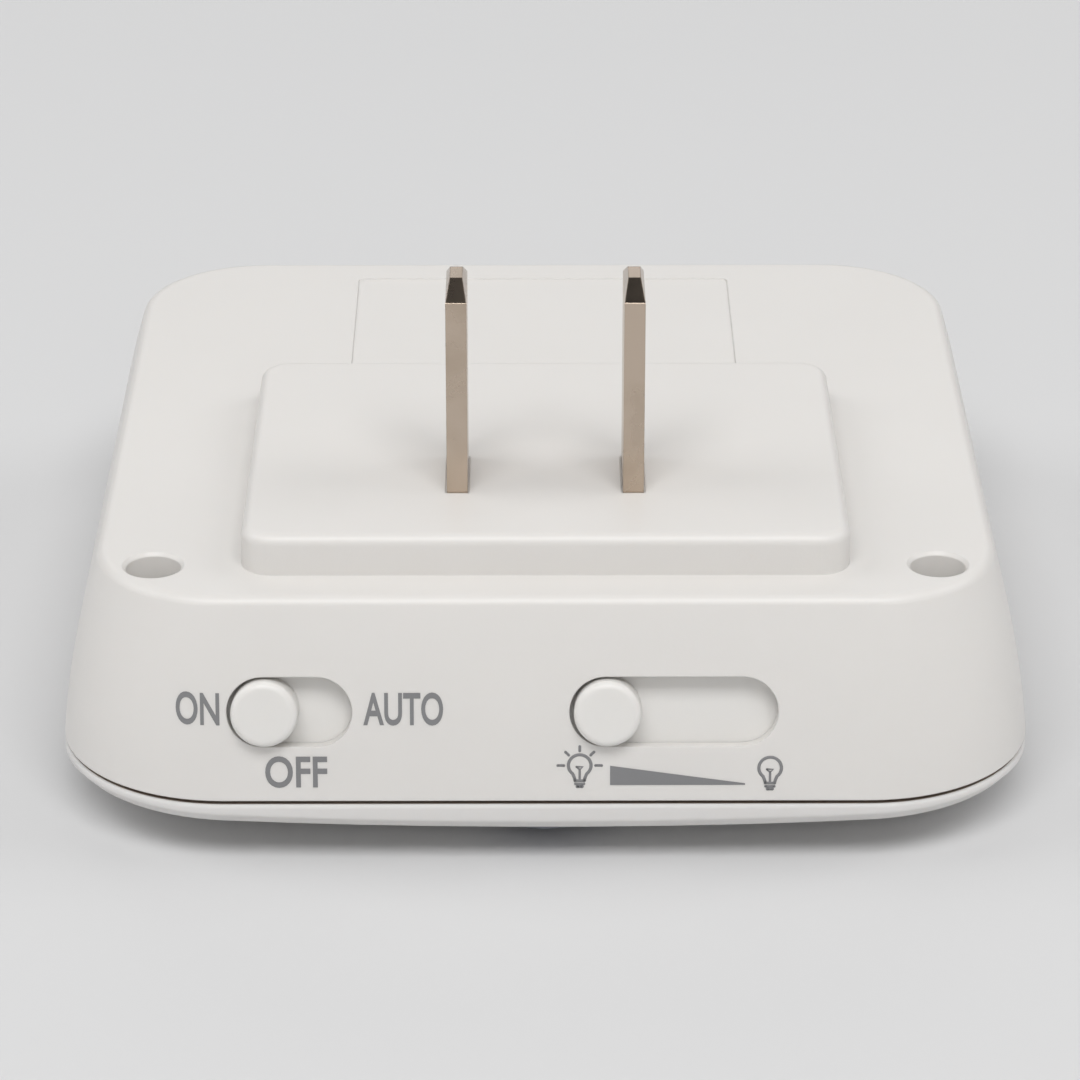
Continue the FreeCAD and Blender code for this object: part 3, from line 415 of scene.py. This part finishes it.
def blade_sleeve(side, place):
    """A thin moulded frame in the slot's mouth, from the slot's wall to the blade."""
    bpy.ops.mesh.primitive_plane_add(size=1.0, location=(place * MM, 0, -SLEEVE_DEPTH * MM))
    sleeve = bpy.context.object
    sleeve.scale = (SLOT_WIDTH * MM, SLOT_LENGTH * MM, 1)
    settle(sleeve)
    bpy.ops.object.mode_set(mode="EDIT")
    bpy.ops.mesh.select_all(action="SELECT")
    bpy.ops.mesh.inset(thickness=SLEEVE_WALL * MM)
    bpy.ops.mesh.delete(type="FACE")
    bpy.ops.object.mode_set(mode="OBJECT")
    wall = sleeve.modifiers.new("wall", "SOLIDIFY")
    wall.thickness = SLEEVE_HEIGHT * MM
    wall.offset = -1
    bpy.ops.object.modifier_apply(modifier=wall.name)
    finish_piece(sleeve, f"blade_sleeve_{side}", "housing", MATERIALS["white_shell"])


# Print on the slider side


def wall_tree(thing):
    """The housing's surface as a tree that a ray can be sent into."""
    mesh = thing.data
    return BVHTree.FromPolygons([v.co for v in mesh.vertices], [p.vertices for p in mesh.polygons])


def on_wall(tree, x, z):
    """The place and outward normal of the slider side at x and z, in millimetres."""
    start = Vector((x * MM, -SEARCH_START * MM, z * MM))
    place, normal, _, _ = tree.ray_cast(start, Vector((0, 1, 0)))
    if normal.y > 0:
        normal = -normal
    return place, normal


def lay_print(thing, tree, middle):
    """Stand a thin print, drawn in millimetres about the origin, on the wall around middle."""
    place, normal = on_wall(tree, *middle)
    right = Vector((1, 0, 0))
    up = normal.cross(right).normalized()
    if up.z < 0:
        up = -up
    turn = Matrix((right, up, right.cross(up))).transposed().to_4x4()
    raised = [vertex.co.z > INK_LEVEL for vertex in thing.data.vertices]
    thing.matrix_world = Matrix.Translation(place) @ turn @ Matrix.Scale(MM, 4)
    settle(thing)
    for vertex, high in zip(thing.data.vertices, raised):
        wall, _ = on_wall(tree, vertex.co.x / MM, vertex.co.z / MM)
        vertex.co.y = wall.y - (INK_TOP if high else INK_FOOT) * MM
    return thing


def word(text, width, height):
    """A printed word as a thin solid of this size, in millimetres, about the origin."""
    bpy.ops.object.text_add(location=(0, 0, 0))
    thing = bpy.context.object
    thing.data.body = text
    thing.data.align_x = "CENTER"
    thing.data.extrude = INK_HALF
    thing.data.offset = STROKE_WEIGHT
    thing.data.resolution_u = 6
    only(thing)
    bpy.ops.object.convert(target="MESH")
    thing = bpy.context.object
    low = Vector([min(v.co[i] for v in thing.data.vertices) for i in range(3)])
    high = Vector([max(v.co[i] for v in thing.data.vertices) for i in range(3)])
    middle = (low + high) / 2
    for vertex in thing.data.vertices:
        vertex.co.x = (vertex.co.x - middle.x) * width / (high.x - low.x)
        vertex.co.y = (vertex.co.y - middle.y) * height / (high.y - low.y)
    return thing


def ink_line(points, width):
    """A printed line with round ends through these points, in millimetres, as a thin solid."""
    curve = bpy.data.curves.new("line", "CURVE")
    curve.dimensions = "3D"
    curve.bevel_depth = width / 2
    curve.bevel_resolution = 2
    curve.use_fill_caps = True
    spline = curve.splines.new("POLY")
    spline.points.add(len(points) - 1)
    for point, (x, y) in zip(spline.points, points):
        point.co = (x, y, 0, 1)
    line = bpy.data.objects.new("line", curve)
    bpy.context.scene.collection.objects.link(line)
    only(line)
    bpy.ops.object.convert(target="MESH")
    parts = [bpy.context.object]
    for x, y in (points[0], points[-1]):
        bpy.ops.mesh.primitive_cylinder_add(vertices=16, radius=width / 2, depth=2 * INK_HALF,
                                            location=(x, y, 0))
        parts.append(bpy.context.object)
    return parts


def on_circle(radius, angle):
    """The point at this radius and angle, in degrees from the +X side."""
    turn = math.radians(angle)
    return (radius * math.cos(turn), radius * math.sin(turn))


def bulb_sign(rays):
    """A light bulb in outline with its filament and screw base, and short rays if it is the bright one."""
    sweep = GLASS_END - GLASS_START
    glass = [on_circle(GLASS_RADIUS, GLASS_START + sweep * i / GLASS_STEPS) for i in range(GLASS_STEPS + 1)]
    right_neck = list(reversed(NECK))
    left_neck = [(-x, y) for x, y in NECK]
    parts = ink_line(right_neck + glass + left_neck, GLASS_LINE)
    parts += ink_line(FILAMENT, FILAMENT_LINE)
    parts += ink_line(STEM, STEM_LINE)
    for reach, level, width in BASE_RINGS:
        parts += ink_line([(-reach, level), (reach, level)], width)
    if rays:
        for angle, near, far in RAYS:
            parts += ink_line([on_circle(near, angle), on_circle(far, angle)], RAY_LINE)
    only(*parts)
    bpy.ops.object.join()
    sign = bpy.context.object
    settle(sign)
    return sign


def wedge_sign(width, height):
    """The tapering bar between the two bulbs, tall at its left end."""
    bpy.ops.mesh.primitive_cube_add(size=1.0)
    bar = bpy.context.object
    for vertex in bar.data.vertices:
        if vertex.co.x > 0 and vertex.co.y > 0:
            vertex.co.y = BAR_TIP - 0.5
        vertex.co.x *= width
        vertex.co.y *= height
        vertex.co.z *= 2 * INK_HALF
    only(bar)
    bpy.ops.object.mode_set(mode="EDIT")
    bpy.ops.mesh.select_all(action="SELECT")
    bpy.ops.mesh.subdivide(number_cuts=3)
    bpy.ops.object.mode_set(mode="OBJECT")
    return bar


def print_words(tree):
    """The three words round the short slot, each as tall along the leaning wall as it looks from in front."""
    slope = math.cos(math.radians(WALL_LEAN))
    for text, left, right, top, bottom in WORDS:
        thing = word(text, right - left, (top - bottom) / slope)
        lay_print(thing, tree, ((left + right) / 2, (top + bottom) / 2))
        finish_piece(thing, f"print_{text.lower()}", "housing", INK)


def print_signs(tree):
    """The brightness scale under the long slot: a rayed bulb, a tapering bar and a plain bulb."""
    for name, rays, middle in BULBS:
        finish_piece(lay_print(bulb_sign(rays), tree, middle), name, "housing", INK)
    bar = lay_print(wedge_sign(*BAR_SIZE), tree, BAR_MIDDLE)
    finish_piece(bar, "print_scale_bar", "housing", INK)


# Floor, light and camera


def floor():
    """A plain pale table that touches the window and the cover's crown, as the light rests on it."""
    depth, height = FLOOR_TOUCH
    bpy.ops.mesh.primitive_plane_add(size=FLOOR_SIDE * MM, location=(0, depth * MM, height * MM),
                                     rotation=(math.atan(FLOOR_RISE), 0, 0))
    table = bpy.context.object
    table.name = "table"
    material, _, _, shader = base_material("table_paper")
    shader.inputs["Roughness"].default_value = 0.6
    shader.inputs["Base Color"].default_value = FLOOR_TONE
    table.data.materials.append(material)


def area_lamp(name, place, size, power):
    """A soft box at this place that faces the object, with the size in metres and the power in watts."""
    bpy.ops.object.light_add(type="AREA", location=place)
    lamp = bpy.context.object
    lamp.name = name
    lamp.data.shape = "RECTANGLE"
    lamp.data.size, lamp.data.size_y = size
    lamp.data.energy = power
    toward = Vector(LAMP_AIM) - Vector(place)
    lamp.rotation_euler = toward.to_track_quat("-Z", "Y").to_euler()


def light():
    """Soft studio light, most of it from high in front, with a dark ceiling that metal can mirror."""
    world = bpy.data.worlds.new("studio")
    bpy.context.scene.world = world
    world.use_nodes = True
    nodes, links = world.node_tree.nodes, world.node_tree.links
    background = nodes["Background"]
    place = nodes.new("ShaderNodeTexCoord")
    height = nodes.new("ShaderNodeSeparateXYZ")
    ramp = nodes.new("ShaderNodeValToRGB")
    stops = ramp.color_ramp.elements
    stops[0].position = ROOM_STOPS[0][0]
    stops[1].position = ROOM_STOPS[-1][0]
    for rise, _ in ROOM_STOPS[1:-1]:
        stops.new(rise)
    for stop, (_, level) in zip(stops, ROOM_STOPS):
        stop.color = (level, level, level, 1)
    links.new(place.outputs["Generated"], height.inputs["Vector"])
    links.new(height.outputs["Z"], ramp.inputs["Fac"])
    links.new(ramp.outputs["Color"], background.inputs["Color"])
    background.inputs["Strength"].default_value = ROOM_STRENGTH
    for name, place, size, power in LAMPS:
        area_lamp(name, place, size, power)


def camera():
    """The photograph's own viewpoint and lens."""
    bpy.ops.object.camera_add(location=[c * MM for c in CAMERA_PLACE])
    eye = bpy.context.object
    eye.rotation_euler = (math.radians(90 - CAMERA_DOWN), 0, math.radians(-CAMERA_TURN))
    eye.data.sensor_width = SENSOR_WIDTH
    eye.data.lens = LENS
    eye.data.clip_start = CAMERA_NEAR * MM
    eye.data.clip_end = CAMERA_FAR * MM
    bpy.context.scene.camera = eye


# The whole scene

dress_cad_nodes()
blade_sleeve("left", -BLADE_PLACE)
blade_sleeve("right", BLADE_PLACE)
housing_tree = wall_tree(frame["nodes"]["rear_housing"])
print_words(housing_tree)
print_signs(housing_tree)
floor()
light()
camera()
bpy.context.scene.view_settings.view_transform = "Standard"
